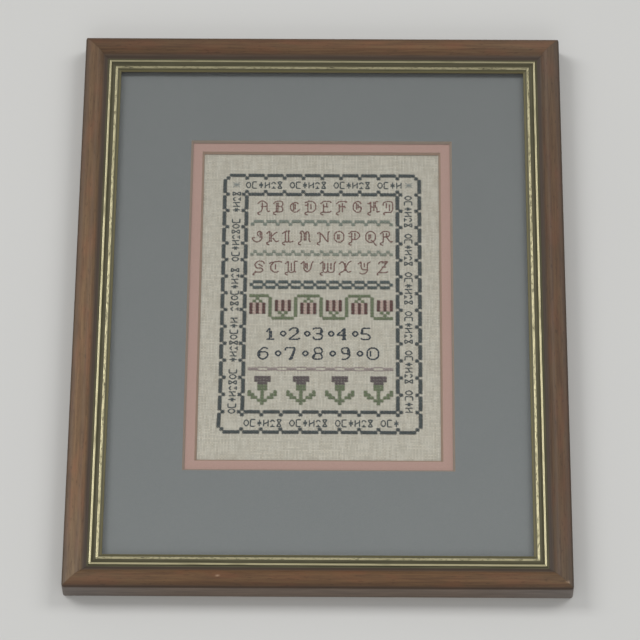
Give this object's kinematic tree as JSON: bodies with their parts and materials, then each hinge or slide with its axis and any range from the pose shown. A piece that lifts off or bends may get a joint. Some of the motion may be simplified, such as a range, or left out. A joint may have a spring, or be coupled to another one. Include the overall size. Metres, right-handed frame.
{
  "type": "cross stitch sampler in a wooden picture frame",
  "caption": "Stitched linen sampler under flat glass, with two bevelled window mats, held in the rebate of a mitred wooden picture frame that lies face up.",
  "frame": {"origin": "under the middle of the frame, in the plane of the rails' backs", "axes": "+Z out of the picture's face; +Y towards the head of the picture, along its long side; +X towards its right side"},
  "size_m": [0.278, 0.354, 0.0142],
  "materials": {
    "stained_wood": "satin brown stain with a dark cove and two gilt beads",
    "clear_glass": "clear picture glass",
    "grey_mat_board": "matt grey-blue paper face",
    "pink_mat_board": "matt dusty pink paper face",
    "natural_linen": "evenweave linen with cotton cross stitch",
    "brown_card": "plain card"
  },
  "bodies": {
    "root": {"rail_left": "stained_wood", "rail_right": "stained_wood", "rail_top": "stained_wood", "rail_bottom": "stained_wood", "glass_pane": "clear_glass", "outer_mat": "grey_mat_board", "inner_mat": "pink_mat_board", "linen": "natural_linen", "backing_board": "brown_card"}
  },
  "joints": []
}
